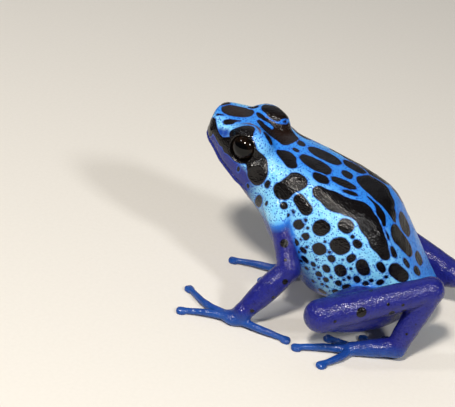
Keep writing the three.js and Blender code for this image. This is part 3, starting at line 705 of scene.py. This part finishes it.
under_jaw = np.clip((14.5 - along) / 3, 0, 1) * np.clip((np.abs(degrees) - 74) / 8, 0, 1)
cheek = under_jaw * (1 - limb)
from_patch = np.min([np.linalg.norm(in_either_half - place, axis=1) for place in SNOUT_PATCH], axis=0)
snout = np.exp(-(from_patch / SNOUT_PATCH_REACH) ** 4)
brown = np.max([np.exp(-(np.linalg.norm(in_left_half - (x, y, z), axis=1) / width) ** 2)
                for x, y, z, width in BROWN_AREAS], axis=0)

for name, values in (("spot", spot), ("limb", limb), ("digit", digit), ("flank_and_sheen", flank_and_sheen), ("belly", belly),
                     ("cheek", cheek), ("snout", snout), ("brown", brown), ("rim", rim)):
    layer = skin_mesh.attributes.new(name, "FLOAT", "POINT")
    layer.data.foreach_set("value", values.astype(np.float32))


# Wet frog skin: finely granular and glossy, so that it glitters with pin-prick highlights. Sky blue on the
# flanks, partly the skin's own colour and partly lifted toward white as a painted sheen, azure on the back,
# ultramarine on the limbs, cobalt on the cheeks, a deeper blue on the underside that is partly painted shade,
# and near black with a brown tinge in the spots. The real grains are under 0.2 mm, too fine to show, so that
# they are drawn coarser.
GRAIN_PITCH = 0.2778  # mm from one raised grain to the next
SPECK_PITCH = 0.3448  # mm from one dark speck to the next, between the spots
FRECKLE_SIZE = 0.3846  # mm
MOTTLE_SIZE = 1.1111
CLOUD_SIZE = 4.5455


def linear(code):
    """The linear colour, with alpha, of an sRGB hex code."""
    parts = [int(code[i:i + 2], 16) / 255 for i in (1, 3, 5)]
    return [p / 12.92 if p <= 0.04045 else ((p + 0.055) / 1.055) ** 2.4 for p in parts] + [1]


def add(tree, kind, inputs={}, **settings):
    """A node with its settings, and inputs by name or number: each a link, a plain value or a hex colour."""
    node = tree.nodes.new(kind)
    for name, value in settings.items():
        setattr(node, name, value)
    for name, given in inputs.items():
        if isinstance(given, bpy.types.NodeSocket):
            tree.links.new(given, node.inputs[name])
        else:
            node.inputs[name].default_value = linear(given) if isinstance(given, str) else given
    return node


wet_skin = bpy.data.materials.new("wet_frog_skin")
wet_skin.use_nodes = True
tree = wet_skin.node_tree
shader = tree.nodes["Principled BSDF"]
place = add(tree, "ShaderNodeTexCoord").outputs["Object"]
read = {n: add(tree, "ShaderNodeAttribute", attribute_name=n).outputs["Fac"]
        for n in ("spot", "limb", "digit", "flank_and_sheen", "belly", "cheek", "snout", "brown", "rim")}

grain, speck = (
    add(tree, "ShaderNodeTexVoronoi", {"Vector": place, "Scale": 1000 / pitch}).outputs["Distance"]
    for pitch in (GRAIN_PITCH, SPECK_PITCH))
mottle, freckle, cloud = (
    add(tree, "ShaderNodeTexNoise", {"Vector": place, "Scale": 1000 / size, "Detail": detail}).outputs["Fac"]
    for size, detail in ((MOTTLE_SIZE, 3), (FRECKLE_SIZE, 2), (CLOUD_SIZE, 2)))
specks = add(tree, "ShaderNodeMath", {0: freckle, 1: speck}, operation="SUBTRACT").outputs[0]

shades = {}  # each from one colour to another by a pattern; a Mix node's colours are its inputs 6 and 7
for name, pattern, low, high in (
    ("back", cloud, "#1A6CD8", "#3A9AEE"),
    # sky blue, its paler end lifted toward white as a painted sheen
    ("flank_and_sheen", mottle, "#4FB4EE", "#A6E4FC"),
    ("cheek", mottle, "#131B6C", "#1F2D8C"),
    ("shoulder", mottle, "#1F6AD0", "#2F86E4"),
    ("limb", mottle, "#121562", "#242985"),
    ("digit", mottle, "#11337E", "#2059AC"),
    ("black", cloud, "#030204", "#090505"),
    ("brown", mottle, "#140A06", "#291810"),
    ("rim", mottle, "#3C2A26", "#6A4E48"),
):
    mixed = add(tree, "ShaderNodeMix", {0: pattern, 6: low, 7: high}, data_type="RGBA")
    shades[name] = mixed.outputs[2]

shares = {}  # each pattern's value from low to high, spread from one share to another
for name, pattern, low, high, least, most in (
    ("specks", specks, 0.12, 0.24, 0, 0.9),
    ("limb_freckles", freckle, 0.6, 0.66, 0, 0.6),
    ("wander", mottle, 0.3, 0.7, -0.06, 0.06),
    ("shoulder", read["limb"], 0, 0.45, 0, 1),
    ("limb", read["limb"], 0.3, 1, 0, 1),
    ("roughness", freckle, 0.3, 0.7, 0.14, 0.26),
):
    spread = add(tree, "ShaderNodeMapRange", {0: pattern, 1: low, 2: high, 3: least, 4: most})
    shares[name] = spread.outputs[0]

# the outline of a spot wanders a little, and a darker blue fringe runs round it
edge = add(tree, "ShaderNodeMath", {0: shares["wander"], 1: read["spot"]}, operation="ADD").outputs[0]
fringe = add(tree, "ShaderNodeMapRange", {0: edge, 1: 0.2, 2: 0.02, 3: 0, 4: 0.75}).outputs[0]
inside_spot = add(tree, "ShaderNodeMapRange", {0: edge, 1: 0.05, 2: -0.05}).outputs[0]

coats = {"limb_blue": shades["limb"], "black": shades["black"], "all": shades["back"]}
for name, share, over in (
    ("limb_blue", shares["limb_freckles"], "#101250"),
    ("limb_blue", read["digit"], shades["digit"]),
    ("black", read["brown"], shades["brown"]),
    ("all", read["flank_and_sheen"], shades["flank_and_sheen"]),
    ("all", shares["specks"], "#174FB6"),
    # the underside's deeper blue, partly its own colour and partly painted shade
    ("all", read["belly"], "#163A88"),
    ("all", read["cheek"], shades["cheek"]),
    ("all", read["snout"], "#123C96"),
    ("all", fringe, "#1C58C8"),
    ("all", shares["shoulder"], shades["shoulder"]),
    ("all", shares["limb"], "limb_blue"),
    ("all", inside_spot, "black"),
    ("all", read["rim"], shades["rim"]),
):
    over = coats.get(over, over)
    coats[name] = add(tree, "ShaderNodeMix", {0: share, 6: coats[name], 7: over}, data_type="RGBA").outputs[2]
tree.links.new(coats["all"], shader.inputs["Base Color"])
tree.links.new(shares["roughness"], shader.inputs["Roughness"])
shader.inputs["IOR"].default_value = 1.42
fine = add(tree, "ShaderNodeBump", {"Height": grain, "Strength": 0.7, "Distance": 0.0001}).outputs[0]
wide = add(tree, "ShaderNodeBump", {"Height": mottle, "Normal": fine, "Strength": 0.2, "Distance": 0.00012})
tree.links.new(wide.outputs[0], shader.inputs["Normal"])
skin_mesh.materials.append(wet_skin)
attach(skin, "root")
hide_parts(*[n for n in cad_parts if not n.startswith("eye")])


# The eyes: smooth wet balls, almost black, with a dark bronze iris round a pupil that is wider than high. Each
# sits in its socket behind the margin of the lids. The cornea is as smooth as glass, with the IOR of water,
# and so carries small sharp highlights.
FLECK_SIZE = 0.4  # mm
PUPIL = (0.62, 0.5)  # half width and half height, as shares of the ball's radius
eye_gloss = bpy.data.materials.new("frog_eye")
eye_gloss.use_nodes = True
tree = eye_gloss.node_tree
shader = tree.nodes["Principled BSDF"]
iris = add(tree, "ShaderNodeAttribute", attribute_name="iris").outputs["Fac"]
place = add(tree, "ShaderNodeTexCoord").outputs["Object"]
fleck = add(tree, "ShaderNodeTexNoise", {"Vector": place, "Scale": 1000 / FLECK_SIZE, "Detail": 4})
flecked = add(tree, "ShaderNodeMapRange", {0: fleck.outputs["Fac"], 1: 0.4, 2: 0.65}).outputs[0]
bronze = add(tree, "ShaderNodeMix", {0: flecked, 6: "#060403", 7: "#1E130C"}, data_type="RGBA").outputs[2]
eye_colour = add(tree, "ShaderNodeMix", {0: iris, 6: "#020203", 7: bronze}, data_type="RGBA").outputs[2]
tree.links.new(eye_colour, shader.inputs["Base Color"])
shader.inputs["Roughness"].default_value = 0.04
shader.inputs["IOR"].default_value = 1.33

for side, sign in (("left", 1), ("right", -1)):
    outward = head_forward * EYE_AXIS[0] + head_left * EYE_AXIS[1] * sign + head_up * EYE_AXIS[2]
    level = unit(np.cross(head_up, outward))
    upright = np.cross(outward, level)
    middle = HEAD_ORIGIN + EYE[0] * head_forward + EYE[1] * sign * head_left + EYE[2] * head_up
    rings, around = 40, 64
    turns, rises = np.linspace(0, 2 * np.pi, around, endpoint=False), np.linspace(0, np.pi, rings + 1)[1:-1]
    turn, rise = np.meshgrid(turns, rises)
    ball = [(0, 0, 1)] + [(math.sin(r) * math.cos(t), math.sin(r) * math.sin(t), math.cos(r))
                          for r, t in zip(rise.ravel(), turn.ravel())] + [(0, 0, -1)]
    ball = np.array(ball)
    quads = []
    for k in range(rings - 2):
        for m in range(around):
            a, b = 1 + k * around + m, 1 + k * around + (m + 1) % around
            quads.append((a, a + around, b + around, b))
    for m in range(around):
        quads.append((0, 1 + m, 1 + (m + 1) % around))
        end = len(ball) - 1
        quads.append((end, end - around + (m + 1) % around, end - around + m))
    round_eye = middle + EYE_RADIUS * (ball[:, :1] * level + ball[:, 1:2] * upright + ball[:, 2:] * outward)
    eye_mesh = bpy.data.meshes.new("eyeball_" + side)
    eye_mesh.from_pydata(((round_eye - MIDDLE) / 1000).tolist(), [], quads)
    eye_mesh.shade_smooth()
    layer = eye_mesh.attributes.new("iris", "FLOAT", "POINT")
    pupil = np.hypot(ball[:, 0] / PUPIL[0], ball[:, 1] / PUPIL[1])
    layer.data.foreach_set("value", np.clip((pupil - 0.95) / 0.15, 0, 1).astype(np.float32))
    eye_mesh.materials.append(eye_gloss)
    eyeball = bpy.data.objects.new("eyeball_" + side, eye_mesh)
    bpy.context.scene.collection.objects.link(eyeball)
    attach(eyeball, "root")
    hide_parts("eye_" + side)


# The stand for the picture, which is no part of the frog: a floor of plain pale paper, matt and even, small
# studio lights that give sharp highlights on the wet skin, a broad weak one on the far side, and the camera.
FLOOR_HALF = 2  # m
PAPER_TOOTH = 0.6667  # mm
floor_mesh = bpy.data.meshes.new("studio_floor")
corners = [(x * FLOOR_HALF, y * FLOOR_HALF, 0) for x, y in ((-1, -1), (1, -1), (1, 1), (-1, 1))]
floor_mesh.from_pydata(corners, [], [(0, 1, 2, 3)])
floor = bpy.data.objects.new("studio_floor", floor_mesh)
bpy.context.scene.collection.objects.link(floor)
paper = bpy.data.materials.new("pale_paper")
paper.use_nodes = True
tree = paper.node_tree
place = add(tree, "ShaderNodeTexCoord").outputs["Object"]
tooth = add(tree, "ShaderNodeTexNoise", {"Vector": place, "Scale": 1000 / PAPER_TOOTH, "Detail": 2})
pale = add(tree, "ShaderNodeMix", {0: tooth.outputs["Fac"], 6: "#E2DED6", 7: "#E8E4DC"}, data_type="RGBA")
tree.links.new(pale.outputs[2], tree.nodes["Principled BSDF"].inputs["Base Color"])
tree.nodes["Principled BSDF"].inputs["Roughness"].default_value = 0.9
floor_mesh.materials.append(paper)

sky = bpy.data.worlds.new("soft_room")
bpy.context.scene.world = sky
sky.use_nodes = True
sky.node_tree.nodes["Background"].inputs[0].default_value = linear("#E6EAF0")
sky.node_tree.nodes["Background"].inputs[1].default_value = 0.06


FROG_MIDDLE = 0.014  # m over the floor


def lamp(name, azimuth, elevation, distance, size, power, colour):
    """A square light looking at the frog's middle, placed by its bearing, of which 90 is the frog's left."""
    a, e = math.radians(azimuth), math.radians(elevation)
    back = np.array([math.sin(a) * math.cos(e), -math.cos(a) * math.cos(e), math.sin(e)])
    right = np.array([math.cos(a), math.sin(a), 0])
    light = bpy.data.lights.new(name, "AREA")
    light.size, light.energy, light.color = size, power, linear(colour)[:3]
    made = bpy.data.objects.new(name, light)
    turned = Matrix(np.stack([right, np.cross(back, right), back], 1).tolist()).to_4x4()
    turned.translation = (np.array([0, 0, FROG_MIDDLE]) + back * distance).tolist()
    made.matrix_world = turned
    bpy.context.scene.collection.objects.link(made)


lamp("key_light", 78, 52, 0.5, 0.06, 2.2, "#FFF8EE")
lamp("second_light", 20, 46, 0.5, 0.05, 0.4, "#FFFFFF")
lamp("side_light", 138, 40, 0.5, 0.06, 0.9, "#FFFFFF")
lamp("far_light", 285, 45, 0.6, 0.7, 0.6, "#F0F5FF")

CAMERA = {"place": (226.323, 16.273, 135.248), "bearing": 98.681, "rise": 27.875, "roll": 9.650}  # mm, degrees
PICTURE_WIDTH = 455  # pixels
FOCAL_LENGTH = 1517.35  # pixels
SENSOR_WIDTH = 36  # mm
a, e, r = (math.radians(CAMERA[k]) for k in ("bearing", "rise", "roll"))
back = np.array([math.sin(a) * math.cos(e), -math.cos(a) * math.cos(e), math.sin(e)])
right = np.array([math.cos(a), math.sin(a), 0])
upward = np.cross(back, right)
lens = bpy.data.cameras.new("camera")
lens.sensor_width = SENSOR_WIDTH
lens.lens = FOCAL_LENGTH * SENSOR_WIDTH / PICTURE_WIDTH
lens.clip_start, lens.clip_end = 0.005, 20
camera = bpy.data.objects.new("camera", lens)
rolled_right = right * math.cos(r) + upward * math.sin(r)
rolled_up = upward * math.cos(r) - right * math.sin(r)
stand = Matrix(np.stack([rolled_right, rolled_up, back], 1).tolist()).to_4x4()
stand.translation = [c / 1000 for c in CAMERA["place"]]
camera.matrix_world = stand
bpy.context.scene.collection.objects.link(camera)
bpy.context.scene.camera = camera
bpy.context.scene.view_settings.view_transform = "Standard"
